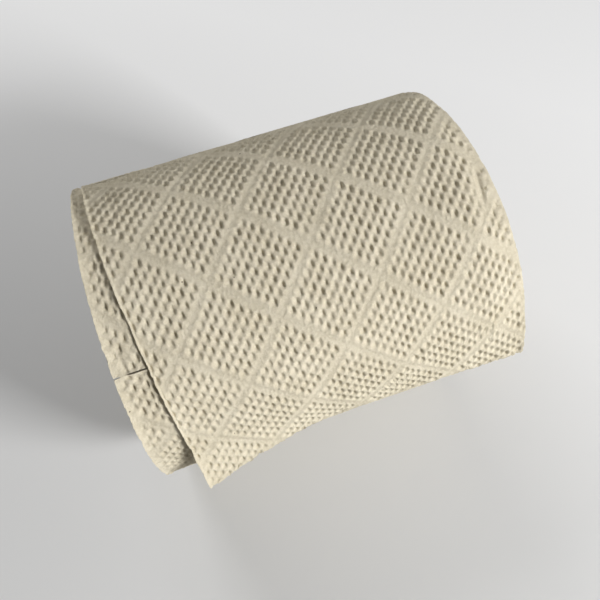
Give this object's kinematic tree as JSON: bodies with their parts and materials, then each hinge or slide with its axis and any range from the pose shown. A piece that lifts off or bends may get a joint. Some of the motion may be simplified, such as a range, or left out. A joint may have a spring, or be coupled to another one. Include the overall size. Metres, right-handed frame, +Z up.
{
  "type": "toilet paper roll",
  "caption": "Roll of unbleached, diamond-quilted toilet tissue wound on a card tube, lying on its side with the last sheet skewed and its torn tail lifting off.",
  "frame": {"origin": "on the supporting surface, in the flat rest spot under the middle of the card tube", "axes": "+X along the tube's axis, towards the end that the last sheet overhangs; +Z up; -Y towards the side where the torn tail hangs"},
  "size_m": [0.1105, 0.1001, 0.0917],
  "materials": {
    "tissue": "matte creped tissue with dimpled diamonds",
    "card": "matte spiral-wound grey-brown card"
  },
  "bodies": {
    "root": {"paper_web": "tissue", "core_tube": "card"}
  },
  "joints": []
}
